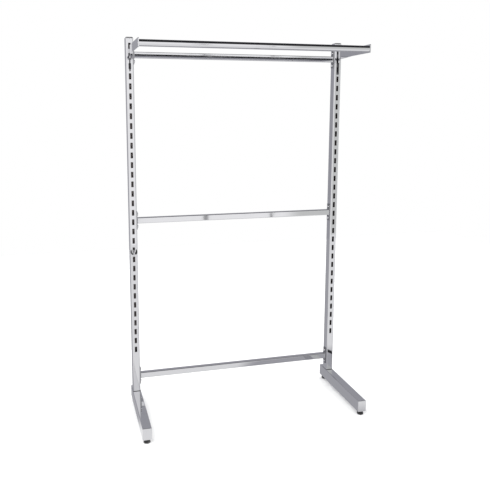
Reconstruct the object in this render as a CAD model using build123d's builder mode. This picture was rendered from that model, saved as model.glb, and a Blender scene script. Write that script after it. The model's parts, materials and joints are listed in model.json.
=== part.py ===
"""Free-standing slotted garment display stand.

Two slotted box uprights stand on box legs that reach forward, three square crossbars hold them apart, and
a round hang rail sits between two flat arms that hook into the top slots.

Millimetres, +Z up, the front towards -Y. The origin is on the floor, under the middle of the stand.
"""

import os

from build123d import *

os.makedirs("parts", exist_ok=True)

# Driving dimensions of the frame
clear_width = 1100.0  # between the inner faces of the two uprights
overall_height = 1965.0
leg_length = 500.0
leg_front_reach = 415.0  # from the leg's front end back to the uprights' front face
foot_gap = 20.0  # under the legs, when the feet are screwed right in

# Uprights and their slots
upright_width = 40.0
upright_depth = 50.0
upright_wall = 2.0
upright_corner = 6.0
slot_pitch = 50.0
slot_width = 12.0
slot_height = 30.0
slot_corner = 2.0
first_slot_drop = 45.0  # from the stand's top to the middle of the first slot
last_slot_rise = 230.0  # least height of the last slot's middle above the leg
cap_height = 10.0
cap_edge = 8.0
cap_plug_depth = 15.0
cap_wall = 2.0

# Legs
leg_width = 46.0
leg_height = 60.0
leg_wall = 2.5
leg_corner = 4.0
leg_cap_thickness = 3.0
leg_cap_edge = 1.2
leg_plug_depth = 10.0

# Spigots that stand on the legs inside the uprights
spigot_height = 120.0
spigot_wall = 3.0
spigot_screw_rises = (30.0, 90.0)  # above the leg
spigot_screw_radius = 3.0
spigot_screw_length = 14.0
spigot_head_radius = 6.0
spigot_head_height = 3.5

# Crossbars, their end plates and bolts
bar_size = 30.0
bar_wall = 1.5
bar_corner = 3.0
top_bar_drop = 87.0  # from the stand's top to the bar's middle
middle_bar_rise = 945.0  # above the leg
bottom_bar_rise = 83.0  # above the leg
plate_thickness = 4.0
plate_height = 95.0
plate_corner = 4.0
bolt_offset = 33.0  # bolt above and below the bar's middle
bolt_radius = 4.0
bolt_head_radius = 8.0
bolt_head_height = 5.0
bolt_socket_width = 5.0  # across the flats of its hexagon
bolt_socket_depth = 2.5
insert_radius = 5.5
insert_length = 16.0
insert_collar_radius = 7.5
insert_collar_height = 3.0

# Arms and hang rail
arm_thickness = 5.0
arm_reach = 350.0  # from the uprights' front face to the rail's middle
rail_drop = 66.0  # from the stand's top to the rail's middle
arm_above_rail = 22.0
arm_below_rail = 18.0
arm_root_deepening = 5.0  # how much further the arm reaches down near the upright
arm_taper_start = 170.0  # from the upright's face
arm_taper_end = 40.0
arm_tip_corner = 3.0
strip_depth = 10.0  # hooked strip down the upright's face
strip_tail = 6.0  # below the last lug's slot
gusset_radius = 22.0
lug_count = 3
lug_neck_height = 16.0
lug_nose_depth = 10.0  # how far it hangs down behind the wall
lug_nose_thickness = 4.0
rail_radius = 16.0
rail_wall = 1.5
rail_plug_length = 22.0
rail_screw_radius = 3.0
rail_screw_head_radius = 6.0
rail_screw_length = 18.0

# Slot hook, a small removable double hook
hook_slot = 21  # counted down from the top slot
hook_plate_thickness = 4.0
hook_wire_radius = 2.5
hook_bend_radius = 15.0
hook_bend_drop = 5.0  # bend's middle below the slot's middle
hook_tip_rise = 6.0
hook_standoff = 9.0  # wire's middle in front of the upright

# Levelling feet
foot_inset = 20.0  # from the leg's end
foot_travel = 12.0  # how far a foot screws out
pad_radius = 17.0
pad_height = 12.0
pad_taper = 8.0
pad_edge = 1.5
pad_socket_depth = 8.0
stud_radius = 4.0
stud_collar_width = 14.0  # across the flats
foot_insert_radius = 6.5
foot_insert_rise = 18.0
stud_rise = foot_insert_rise + foot_travel + 2.0  # above the leg's underside
foot_flange_radius = 10.0
foot_flange_thickness = 2.5

# Clearances
running_gap = 0.05  # round a turning or screwed shank
press_gap = 0.1  # round an insert in its hole
plug_gap = 0.2  # round a plug or spigot in its tube
seat_gap = 0.3  # between a lug or an arm and the wall that it hangs on
hole_gap = 0.5  # round a bolt that passes through a plate
window_gap = 1.5  # round an insert's collar in the spigot's window

# Places that follow from these
leg_top = foot_gap + leg_height
upright_x = clear_width / 2 + upright_width / 2
leg_front_y = -leg_length / 2
face_y = leg_front_y + leg_front_reach
back_y = face_y + upright_depth
upright_y = face_y + upright_depth / 2
tube_top = overall_height - cap_height
first_slot_z = overall_height - first_slot_drop
slot_count = int((first_slot_z - leg_top - last_slot_rise) // slot_pitch) + 1
slot_heights = [first_slot_z - index * slot_pitch for index in range(slot_count)]
rail_y = face_y - arm_reach
rail_z = overall_height - rail_drop
foot_ys = {"front": leg_front_y + foot_inset, "rear": -leg_front_y - foot_inset}
bar_heights = {
    "top": overall_height - top_bar_drop,
    "middle": leg_top + middle_bar_rise,
    "bottom": leg_top + bottom_bar_rise,
}
sides = {"left": -1, "right": 1}


def save(part, name):
    """Labels a finished piece and writes it."""
    part.label = name
    export_step(part, f"parts/{name}.step")


def box_section(width, depth, wall, corner):
    """Draws a square-cornered tube's section, rounded inside and out, at the current location."""
    RectangleRounded(width, depth, corner)
    RectangleRounded(width - 2 * wall, depth - 2 * wall, max(corner - wall, 0.5), mode=Mode.SUBTRACT)


# Uprights: box tubes with a row of slots down the front wall, holes for the crossbars' inserts in the
# inner wall, and holes for the spigot's screws in the back wall.
bolt_points = [
    (upright_y, height + step * bolt_offset) for height in bar_heights.values() for step in (1, -1)
]
for side, sign in sides.items():
    with BuildPart() as upright:
        with BuildSketch(Plane.XY.offset(leg_top)):
            with Locations((sign * upright_x, upright_y)):
                box_section(upright_width, upright_depth, upright_wall, upright_corner)
        extrude(amount=tube_top - leg_top)
        with BuildSketch(Plane.XZ.offset(-face_y)):
            with Locations(*[(sign * upright_x, height) for height in slot_heights]):
                RectangleRounded(slot_width, slot_height, slot_corner)
        extrude(amount=-upright_wall, mode=Mode.SUBTRACT)
        with BuildSketch(Plane.YZ.offset(sign * clear_width / 2)):
            with Locations(*bolt_points):
                Circle(insert_radius + press_gap)
        extrude(amount=sign * upright_wall, mode=Mode.SUBTRACT)
        with BuildSketch(Plane.XZ.offset(-back_y)):
            with Locations(*[(sign * upright_x, leg_top + rise) for rise in spigot_screw_rises]):
                Circle(spigot_screw_radius + hole_gap)
        extrude(amount=upright_wall, mode=Mode.SUBTRACT)
    save(upright.part, f"upright_{side}")

# Upright caps: domed caps with a hollow plug pushed into the tube's top.
cap_plug_width = upright_width - 2 * (upright_wall + plug_gap)
cap_plug_across = upright_depth - 2 * (upright_wall + plug_gap)
for side, sign in sides.items():
    with BuildPart() as cap:
        with BuildSketch(Plane.XY.offset(tube_top)):
            with Locations((sign * upright_x, upright_y)):
                RectangleRounded(upright_width, upright_depth, upright_corner)
        extrude(amount=cap_height)
        fillet(cap.edges().group_by(Axis.Z)[-1], min(cap_edge, cap_height - 1))
        with BuildSketch(Plane.XY.offset(tube_top)):
            with Locations((sign * upright_x, upright_y)):
                box_section(cap_plug_width, cap_plug_across, cap_wall, upright_corner - upright_wall)
        extrude(amount=-cap_plug_depth)
    save(cap.part, f"upright_cap_{side}")

# Legs: box tubes laid along Y, with a hole near each end of the underside for the foot's insert.
leg_tube_length = leg_length - 2 * leg_cap_thickness
leg_z = foot_gap + leg_height / 2
for side, sign in sides.items():
    with BuildPart() as leg:
        with BuildSketch(Plane.XZ.offset(leg_tube_length / 2)):
            with Locations((sign * upright_x, leg_z)):
                box_section(leg_width, leg_height, leg_wall, leg_corner)
        extrude(amount=-leg_tube_length)
        with BuildSketch(Plane.XY.offset(foot_gap)):
            with Locations(*[(sign * upright_x, y) for y in foot_ys.values()]):
                Circle(foot_insert_radius + press_gap)
        extrude(amount=leg_wall, mode=Mode.SUBTRACT)
    save(leg.part, f"leg_{side}")

# Leg caps: flat plates that close the legs' ends, each with a hollow plug inside the tube.
leg_plug_width = leg_width - 2 * (leg_wall + plug_gap)
leg_plug_height = leg_height - 2 * (leg_wall + plug_gap)
for side, sign in sides.items():
    for end, outward in (("front", 1), ("rear", -1)):
        with BuildPart() as leg_cap:
            with BuildSketch(Plane.XZ.offset(outward * leg_tube_length / 2)):
                with Locations((sign * upright_x, leg_z)):
                    RectangleRounded(leg_width, leg_height, leg_corner)
            extrude(amount=outward * leg_cap_thickness)
            fillet(leg_cap.edges().group_by(Axis.Y)[0 if outward > 0 else -1], leg_cap_edge)
            with BuildSketch(Plane.XZ.offset(outward * leg_tube_length / 2)):
                with Locations((sign * upright_x, leg_z)):
                    box_section(leg_plug_width, leg_plug_height, cap_wall, max(leg_corner - leg_wall, 1))
            extrude(amount=-outward * leg_plug_depth)
        save(leg_cap.part, f"leg_cap_{end}_{side}")

# Spigots: short stout tubes welded to the legs' tops, which the uprights slide over. A window in the inner
# wall clears the bottom crossbar's inserts.
window_width = 2 * (insert_collar_radius + window_gap)
window_foot_z = bar_heights["bottom"] - bolt_offset - window_width / 2
window_height = leg_top + spigot_height - window_foot_z
spigot_width = upright_width - 2 * (upright_wall + plug_gap)
spigot_depth = upright_depth - 2 * (upright_wall + plug_gap)
for side, sign in sides.items():
    with BuildPart() as spigot:
        with BuildSketch(Plane.XY.offset(leg_top)):
            with Locations((sign * upright_x, upright_y)):
                box_section(spigot_width, spigot_depth, spigot_wall, upright_corner - upright_wall)
        extrude(amount=spigot_height)
        with BuildSketch(Plane.XZ.offset(-(back_y - upright_wall - plug_gap))):
            with Locations(*[(sign * upright_x, leg_top + rise) for rise in spigot_screw_rises]):
                Circle(spigot_screw_radius)
        extrude(amount=spigot_wall, mode=Mode.SUBTRACT)
        with BuildSketch(Plane.YZ.offset(sign * (clear_width / 2 + upright_wall + plug_gap))):
            with Locations((upright_y, window_foot_z + window_height / 2)):
                Rectangle(window_width, window_height)
        extrude(amount=sign * spigot_wall, mode=Mode.SUBTRACT)
    save(spigot.part, f"spigot_{side}")

# Spigot screws: pan-headed screws through the upright's back wall into the spigot.
for side, sign in sides.items():
    with BuildPart() as spigot_screws:
        with BuildSketch(Plane.XZ.offset(-back_y)):
            with Locations(*[(sign * upright_x, leg_top + rise) for rise in spigot_screw_rises]):
                Circle(spigot_head_radius)
        extrude(amount=-spigot_head_height)
        fillet(spigot_screws.edges().group_by(Axis.Y)[-1], spigot_head_height * 0.6)
        with BuildSketch(Plane.XZ.offset(-back_y)):
            with Locations(*[(sign * upright_x, leg_top + rise) for rise in spigot_screw_rises]):
                Circle(spigot_screw_radius - running_gap)
        extrude(amount=spigot_screw_length)
    save(spigot_screws.part, f"spigot_screws_{side}")

# Crossbars: square tubes between the end plates.
bar_length = clear_width - 2 * plate_thickness
for bar_name, height in bar_heights.items():
    with BuildPart() as crossbar:
        with BuildSketch(Plane.YZ.offset(-bar_length / 2)):
            with Locations((upright_y, height)):
                box_section(bar_size, bar_size, bar_wall, bar_corner)
        extrude(amount=bar_length)
    save(crossbar.part, f"crossbar_{bar_name}")

# End plates: flat plates welded to the bars' ends and bolted to the uprights' inner walls.
for bar_name, height in bar_heights.items():
    for side, sign in sides.items():
        with BuildPart() as end_plate:
            with BuildSketch(Plane.YZ.offset(sign * clear_width / 2)):
                with Locations((upright_y, height)):
                    RectangleRounded(bar_size, plate_height, plate_corner)
                with Locations(*[(upright_y, height + step * bolt_offset) for step in (1, -1)]):
                    Circle(bolt_radius + hole_gap, mode=Mode.SUBTRACT)
            extrude(amount=-sign * plate_thickness)
        save(end_plate.part, f"end_plate_{bar_name}_{side}")

# Crossbar bolts: domed heads with a hexagon socket, one above and one below each bar.
bolt_shank_length = plate_thickness + insert_length
for side, sign in sides.items():
    head_seat = Plane.YZ.offset(sign * (clear_width / 2 - plate_thickness))
    head_face = Plane.YZ.offset(sign * (clear_width / 2 - plate_thickness - bolt_head_height))
    with BuildPart() as bolts:
        with BuildSketch(head_seat):
            with Locations(*bolt_points):
                Circle(bolt_head_radius)
        extrude(amount=-sign * bolt_head_height)
        fillet(bolts.edges().group_by(Axis.X)[0 if sign > 0 else -1], bolt_head_height * 0.8)
        with BuildSketch(head_seat):
            with Locations(*bolt_points):
                Circle(bolt_radius - running_gap)
        extrude(amount=sign * bolt_shank_length)
        with BuildSketch(head_face):
            with Locations(*bolt_points):
                RegularPolygon(bolt_socket_width / 2, 6, major_radius=False)
        extrude(amount=sign * bolt_socket_depth, mode=Mode.SUBTRACT)
    save(bolts.part, f"bar_bolts_{side}")

# Threaded inserts: clinched into the uprights' inner walls, each with a bulged collar behind the wall.
for side, sign in sides.items():
    with BuildPart() as inserts:
        with BuildSketch(Plane.YZ.offset(sign * clear_width / 2)):
            with Locations(*bolt_points):
                Circle(insert_radius)
        extrude(amount=sign * insert_length)
        with BuildSketch(Plane.YZ.offset(sign * (clear_width / 2 + upright_wall))):
            with Locations(*bolt_points):
                Circle(insert_collar_radius)
        extrude(amount=sign * insert_collar_height)
        with BuildSketch(Plane.YZ.offset(sign * clear_width / 2)):
            with Locations(*bolt_points):
                Circle(bolt_radius)
        extrude(amount=sign * insert_length, mode=Mode.SUBTRACT)
    save(inserts.part, f"bar_inserts_{side}")


def draw_lug(root_y, slot_z):
    """Draws a hooked lug that passes through a slot, sits on its lower edge and hangs down behind it."""
    slot_bottom = slot_z - slot_height / 2
    nose_y = face_y + upright_wall + seat_gap
    Polygon(
        (root_y, slot_bottom),
        (nose_y, slot_bottom),
        (nose_y, slot_bottom - lug_nose_depth),
        (nose_y + lug_nose_thickness, slot_bottom - lug_nose_depth),
        (nose_y + lug_nose_thickness, slot_bottom + lug_neck_height),
        (root_y, slot_bottom + lug_neck_height),
        align=None,
    )


# Arms: flat bars on edge, with a strip down the upright's face and three hooked lugs, one in each of the
# top slots. The tip is countersunk for the rail's screw.
arm_tip_y = rail_y - rail_radius
root_y = face_y - seat_gap
arm_top_z = rail_z + arm_above_rail
arm_under_z = rail_z - arm_below_rail
arm_root_z = arm_under_z - arm_root_deepening
strip_foot_z = slot_heights[lug_count - 1] - slot_height / 2 - strip_tail
for side, sign in sides.items():
    outer_x = sign * (upright_x + arm_thickness / 2)
    with BuildPart() as arm:
        with BuildSketch(Plane.YZ.offset(outer_x)):
            with BuildLine():
                Polyline(
                    (arm_tip_y, arm_top_z),
                    (root_y, arm_top_z),
                    (root_y, strip_foot_z),
                    (root_y - strip_depth, strip_foot_z),
                    (root_y - strip_depth, arm_root_z),
                    (face_y - arm_taper_end, arm_root_z),
                    (face_y - arm_taper_start, arm_under_z),
                    (arm_tip_y, arm_under_z),
                    close=True,
                )
            outline = make_face()
            inner_corner = outline.vertices().sort_by_distance((root_y - strip_depth, arm_root_z))[0]
            fillet(inner_corner, gusset_radius)
            fillet(outline.vertices().group_by(Axis.X)[0], arm_tip_corner)
            for slot_z in slot_heights[:lug_count]:
                draw_lug(root_y - strip_depth / 2, slot_z)
        extrude(amount=-sign * arm_thickness)
        with BuildSketch(Plane.YZ.offset(outer_x)):
            with Locations((rail_y, rail_z)):
                Circle(rail_screw_head_radius + running_gap)
        extrude(amount=-sign * (rail_screw_head_radius - rail_screw_radius), taper=45, mode=Mode.SUBTRACT)
        with BuildSketch(Plane.YZ.offset(outer_x)):
            with Locations((rail_y, rail_z)):
                Circle(rail_screw_radius + hole_gap)
        extrude(amount=-sign * arm_thickness, mode=Mode.SUBTRACT)
    save(arm.part, f"arm_{side}")

# Hang rail: a round tube between the arms' inner faces.
rail_end_x = upright_x - arm_thickness / 2
with BuildPart() as hang_rail:
    with BuildSketch(Plane.YZ.offset(-rail_end_x)):
        with Locations((rail_y, rail_z)):
            Circle(rail_radius)
            Circle(rail_radius - rail_wall, mode=Mode.SUBTRACT)
    extrude(amount=2 * rail_end_x)
save(hang_rail.part, "hang_rail")

# Rail plugs: threaded plugs pressed into the rail's ends.
for side, sign in sides.items():
    with BuildPart() as rail_plug:
        with BuildSketch(Plane.YZ.offset(sign * rail_end_x)):
            with Locations((rail_y, rail_z)):
                Circle(rail_radius - rail_wall - press_gap)
                Circle(rail_screw_radius, mode=Mode.SUBTRACT)
        extrude(amount=-sign * rail_plug_length)
    save(rail_plug.part, f"rail_plug_{side}")

# Rail screws: countersunk, flush with the arms' outer faces.
for side, sign in sides.items():
    outer_x = sign * (upright_x + arm_thickness / 2)
    with BuildPart() as rail_screw:
        with BuildSketch(Plane.YZ.offset(outer_x)):
            with Locations((rail_y, rail_z)):
                Circle(rail_screw_head_radius)
        extrude(amount=-sign * (rail_screw_head_radius - rail_screw_radius), taper=45)
        with BuildSketch(Plane.YZ.offset(outer_x)):
            with Locations((rail_y, rail_z)):
                Circle(rail_screw_radius - running_gap)
        extrude(amount=-sign * rail_screw_length)
        with BuildSketch(Plane.YZ.offset(outer_x)):
            with Locations((rail_y, rail_z)):
                RegularPolygon(bolt_socket_width / 2 - 0.5, 6, major_radius=False)
        extrude(amount=-sign * bolt_socket_depth, mode=Mode.SUBTRACT)
    save(rail_screw.part, f"rail_screw_{side}")

# Slot hook: a bent wire on a small plate, whose lug hangs in one slot of the left upright.
hook_x = -upright_x
hook_slot_z = slot_heights[min(hook_slot, slot_count - 1)]
hook_bend_z = hook_slot_z - hook_bend_drop
hook_foot_z = hook_bend_z - hook_bend_radius - hook_wire_radius
hook_front_y = face_y - hook_standoff - hook_wire_radius
wire_tip_z = hook_bend_z + hook_tip_rise
with BuildPart() as slot_hook_part:
    with BuildSketch(Plane.YZ.offset(hook_x - hook_plate_thickness / 2)):
        with BuildLine():
            Polyline(
                (hook_front_y, hook_foot_z),
                (root_y, hook_foot_z),
                (root_y, hook_slot_z + slot_height / 4),
                (root_y - hook_wire_radius, hook_slot_z + slot_height / 4),
                (hook_front_y, hook_foot_z + 4 * hook_wire_radius),
                close=True,
            )
        make_face()
        draw_lug(root_y - hook_wire_radius / 2, hook_slot_z)
    extrude(amount=hook_plate_thickness)
    with BuildLine() as wire_path:
        left_rise = Line(
            (hook_x - hook_bend_radius, face_y - hook_standoff, wire_tip_z),
            (hook_x - hook_bend_radius, face_y - hook_standoff, hook_bend_z),
        )
        bend = ThreePointArc(
            left_rise @ 1,
            (hook_x, face_y - hook_standoff, hook_bend_z - hook_bend_radius),
            (hook_x + hook_bend_radius, face_y - hook_standoff, hook_bend_z),
        )
        Line(bend @ 1, (hook_x + hook_bend_radius, face_y - hook_standoff, wire_tip_z))
    with BuildSketch(Plane(origin=left_rise @ 0, z_dir=left_rise % 0)):
        Circle(hook_wire_radius)
    sweep(path=wire_path.wires()[0])
    tips = slot_hook_part.edges().filter_by(GeomType.CIRCLE).group_by(Axis.Z)[-1]
    fillet(tips, hook_wire_radius * 0.8)
save(slot_hook_part.part, "slot_hook")

# Levelling feet: a black pad, a stud with a six-sided collar that turns in it, and a flanged threaded
# insert in the leg's underside. Screwed right in, the collar bears on the insert's flange.
collar_height = foot_gap - foot_flange_thickness - pad_height
for side, sign in sides.items():
    for end, foot_y in foot_ys.items():
        with BuildPart() as pad:
            with BuildSketch(Plane.XY):
                with Locations((sign * upright_x, foot_y)):
                    Circle(pad_radius)
            extrude(amount=pad_height, taper=pad_taper)
            fillet(pad.edges().group_by(Axis.Z)[-1], pad_edge)
            with BuildSketch(Plane.XY.offset(pad_height)):
                with Locations((sign * upright_x, foot_y)):
                    Circle(stud_radius)
            extrude(amount=-pad_socket_depth, mode=Mode.SUBTRACT)
        save(pad.part, f"foot_pad_{end}_{side}")

        with BuildPart() as stud:
            with BuildSketch(Plane.XY.offset(pad_height)):
                with Locations((sign * upright_x, foot_y)):
                    RegularPolygon(stud_collar_width / 2, 6, major_radius=False)
            extrude(amount=collar_height)
            with BuildSketch(Plane.XY.offset(pad_height - pad_socket_depth + seat_gap)):
                with Locations((sign * upright_x, foot_y)):
                    Circle(stud_radius - running_gap)
            extrude(amount=foot_gap + stud_rise - pad_height + pad_socket_depth - seat_gap)
        save(stud.part, f"foot_stud_{end}_{side}")

        with BuildPart() as foot_insert:
            with BuildSketch(Plane.XY.offset(foot_gap)):
                with Locations((sign * upright_x, foot_y)):
                    Circle(foot_insert_radius)
            extrude(amount=foot_insert_rise)
            with BuildSketch(Plane.XY.offset(foot_gap)):
                with Locations((sign * upright_x, foot_y)):
                    Circle(foot_flange_radius)
            extrude(amount=-foot_flange_thickness)
            with BuildSketch(Plane.XY.offset(foot_gap - foot_flange_thickness)):
                with Locations((sign * upright_x, foot_y)):
                    Circle(stud_radius)
            extrude(amount=foot_flange_thickness + foot_insert_rise, mode=Mode.SUBTRACT)
        save(foot_insert.part, f"foot_insert_{end}_{side}")
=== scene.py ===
import json
import math

import bmesh
import bpy
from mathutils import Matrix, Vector


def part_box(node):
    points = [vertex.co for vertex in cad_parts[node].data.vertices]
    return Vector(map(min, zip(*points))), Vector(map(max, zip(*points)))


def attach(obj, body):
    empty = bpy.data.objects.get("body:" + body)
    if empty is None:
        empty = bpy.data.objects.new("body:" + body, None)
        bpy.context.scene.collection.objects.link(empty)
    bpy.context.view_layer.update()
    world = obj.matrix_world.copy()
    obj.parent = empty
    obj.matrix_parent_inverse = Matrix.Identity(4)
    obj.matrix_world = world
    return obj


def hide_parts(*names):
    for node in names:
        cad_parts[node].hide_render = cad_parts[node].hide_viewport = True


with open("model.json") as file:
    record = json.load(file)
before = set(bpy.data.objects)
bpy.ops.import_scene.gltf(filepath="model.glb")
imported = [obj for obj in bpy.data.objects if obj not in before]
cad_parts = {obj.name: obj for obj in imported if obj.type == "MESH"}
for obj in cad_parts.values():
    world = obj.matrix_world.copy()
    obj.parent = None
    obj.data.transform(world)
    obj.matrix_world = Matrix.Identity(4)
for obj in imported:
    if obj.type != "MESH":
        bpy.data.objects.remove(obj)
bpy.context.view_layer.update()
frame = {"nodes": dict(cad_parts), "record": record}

record = frame["record"]
body_of = {node: body for body, nodes in record["behaviour"]["bodies"].items() for node in nodes}
finish_of = {entry["node"]: entry["material_slot"] for entry in record["subparts"]}
sides = {"left": -1, "right": 1}

# ---- Legs ----
# Two box tubes, 46 by 60 mm in 2.5 mm wall, lie on edge along the floor. They are sawn to length,
# linished, polished and chromed, and a flat cap is pressed into each end and plated with the tube.
leg_corner = 0.004
leg_wall = 0.0025
leg_cap_edge = 0.0014
saw_edge = 0.0005
chrome_tint = (0.72, 0.72, 0.735, 1.0)
haze_shade = 0.86
least_corner = 1e-5
same_point = 1e-6
same_seam = 1e-5
rounded_sharp = 32
flat_weight = 90

ALONG = {
    "X": lambda u, v, w: (w, u, v),
    "Y": lambda u, v, w: (u, w, v),
    "Z": lambda u, v, w: (u, v, w),
}


def rounded_outline(width, height, corner, inset=0.0, steps=6):
    """Points round a rectangle with rounded corners, centred on nought, anticlockwise, moved in
    all round by the inset."""
    width, height, corner = width - 2 * inset, height - 2 * inset, corner - inset
    corner = max(min(corner, width / 2, height / 2), least_corner)
    points = []
    for quarter, (cu, cv) in enumerate(((1, 1), (-1, 1), (-1, -1), (1, -1))):
        for step in range(steps + 1):
            turn = math.pi / 2 * (quarter + step / steps)
            points.append((
                cu * (width / 2 - corner) + corner * math.cos(turn),
                cv * (height / 2 - corner) + corner * math.sin(turn),
            ))
    return points


def middle(low, high, axis):
    """Size and middle of a box across an axis, then its two ends along it."""
    order = {"X": (1, 2, 0), "Y": (0, 2, 1), "Z": (0, 1, 2)}[axis]
    across = [(high[i] - low[i], (high[i] + low[i]) / 2) for i in order[:2]]
    return across[0][0], across[1][0], across[0][1], across[1][1], low[order[2]], high[order[2]]


def ring(outline, axis, cu, cv, w):
    """One outline set at a place along an axis."""
    return [ALONG[axis](cu + u, cv + v, w) for u, v in outline]


def skin(rings, joined=False, capped=False):
    """Points and faces of a skin drawn over a row of rings."""
    count = len(rings[0])
    points = [point for one in rings for point in one]
    rows = [(row, row + 1) for row in range(len(rings) - 1)]
    if joined:
        rows.append((len(rings) - 1, 0))
    faces = []
    for first, second in rows:
        for i in range(count):
            j = (i + 1) % count
            faces.append(tuple(row * count + at for row, at in (
                (first, i), (first, j), (second, j), (second, i)
            )))
    if capped:
        faces.append(tuple(reversed(range(count))))
        faces.append(tuple((len(rings) - 1) * count + i for i in range(count)))
    return points, faces


def shade(mesh, sharp):
    """Smooth shading, broken where faces meet at more than an angle in degrees."""
    mesh.polygons.foreach_set("use_smooth", [True] * len(mesh.polygons))
    mesh.set_sharp_from_angle(angle=math.radians(sharp))


def make_mesh(name, shells, sharp=rounded_sharp):
    """Makes one mesh of closed shells, faces outward, rounded edges smooth and real edges crisp."""
    mesh = bpy.data.meshes.new(name)
    work = bmesh.new()
    for points, faces in shells:
        corners = [work.verts.new(point) for point in points]
        for face in faces:
            work.faces.new([corners[i] for i in face])
    bmesh.ops.remove_doubles(work, verts=work.verts, dist=same_point)
    bmesh.ops.recalc_face_normals(work, faces=work.faces)
    work.to_mesh(mesh)
    work.free()
    shade(mesh, sharp)
    return mesh


def set_in_scene(name, data):
    """Makes an object of a mesh, camera or light and puts it in the scene."""
    thing = bpy.data.objects.new(name, data)
    bpy.context.scene.collection.objects.link(thing)
    return thing


def plain_mesh(thing):
    """The mesh that an object's modifiers make; the modifiers are then removed."""
    scene_now = bpy.context.evaluated_depsgraph_get()
    mesh = bpy.data.meshes.new_from_object(thing.evaluated_get(scene_now))
    thing.modifiers.clear()
    return mesh


def fit_piece(name, mesh, material, *nodes):
    """Puts a finished mesh in place of its CAD nodes, on their body and in their finish.
    Its normals are weighted first, so that flat faces between rounded edges mirror as true flats."""
    piece = set_in_scene(name, mesh)
    flats = piece.modifiers.new("true_flats", "WEIGHTED_NORMAL")
    flats.keep_sharp = True
    flats.weight = flat_weight
    piece.data = plain_mesh(piece)
    if material is not None:
        piece.data.materials.clear()
        piece.data.materials.append(material)
    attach(piece, body_of[nodes[0]])
    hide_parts(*nodes)


def fit_shells(name, shells, material, node, sharp=rounded_sharp):
    """Makes a piece of closed shells and puts it in place of its CAD node."""
    fit_piece(name, make_mesh(name, shells, sharp), material, node)


def centre(node):
    """The middle of a CAD node's box."""
    low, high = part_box(node)
    return (low + high) / 2


def box_tube(low, high, axis, corner, wall, edge):
    """A closed shell for a box tube that fills a box: outside, end rim, inside, other rim."""
    width, height, cu, cv, start, stop = middle(low, high, axis)
    outer, eased, inner = (rounded_outline(width, height, corner, at) for at in (0, edge, wall))
    rings = [
        ring(eased, axis, cu, cv, start), ring(outer, axis, cu, cv, start + edge),
        ring(outer, axis, cu, cv, stop - edge), ring(eased, axis, cu, cv, stop),
        ring(inner, axis, cu, cv, stop), ring(inner, axis, cu, cv, start),
    ]
    return skin(rings, joined=True)


def slab(low, high, axis, corner, low_edge, high_edge, steps=5):
    """A closed plate or block with rounded corners, its two flat faces' edges eased to a radius."""
    width, height, cu, cv, start, stop = middle(low, high, axis)
    rings = []
    for edge, base, inward in ((low_edge, start, 1), (high_edge, stop, -1)):
        row = []
        for step in range(steps + 1):
            turn = math.pi / 2 * step / steps
            inset = edge * (1 - math.sin(turn))
            outline = rounded_outline(width, height, corner, inset)
            row.append(ring(outline, axis, cu, cv, base + inward * edge * (1 - math.cos(turn))))
        rings += row if inward > 0 else row[::-1]
    return skin(rings, capped=True)


def new_group(name, kind, inputs, outputs):
    """Starts a node group with named sockets and returns it with its two end nodes."""
    group = bpy.data.node_groups.new(name, kind)
    for way, sockets in (("INPUT", inputs), ("OUTPUT", outputs)):
        for label, holds in sockets.items():
            group.interface.new_socket(label, in_out=way, socket_type=f"NodeSocket{holds}")
    return group, group.nodes.new("NodeGroupInput"), group.nodes.new("NodeGroupOutput")


def join(tree, source, output, target, entry):
    """Links one node's output to another node's input, both by name or number."""
    tree.links.new(source.outputs[output], target.inputs[entry])


def maths(tree, operation, first, second):
    """A Math node fed by a (node, output) pair and a plain number or another pair."""
    node = tree.nodes.new("ShaderNodeMath")
    node.operation = operation
    for entry, value in enumerate((first, second)):
        if isinstance(value, tuple):
            join(tree, *value, node, entry)
        else:
            node.inputs[entry].default_value = value
    return node


def new_material(name):
    """Starts a material and returns it with its node tree and its main shader."""
    material = bpy.data.materials.new(name)
    material.use_nodes = True
    return material, material.node_tree, material.node_tree.nodes["Principled BSDF"]


def noise(tree, source, scale, detail):
    """A noise texture fed by a (node, output) pair."""
    node = tree.nodes.new("ShaderNodeTexNoise")
    node.inputs["Scale"].default_value = scale
    node.inputs["Detail"].default_value = detail
    join(tree, *source, node, "Vector")
    return node


def relief(tree, strength, distance, height):
    """A bump fed by a (node, output) pair; its strength is a plain number or another pair."""
    node = tree.nodes.new("ShaderNodeBump")
    node.inputs["Distance"].default_value = distance
    if isinstance(strength, tuple):
        join(tree, *strength, node, "Strength")
    else:
        node.inputs["Strength"].default_value = strength
    join(tree, *height, node, "Height")
    return node


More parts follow.
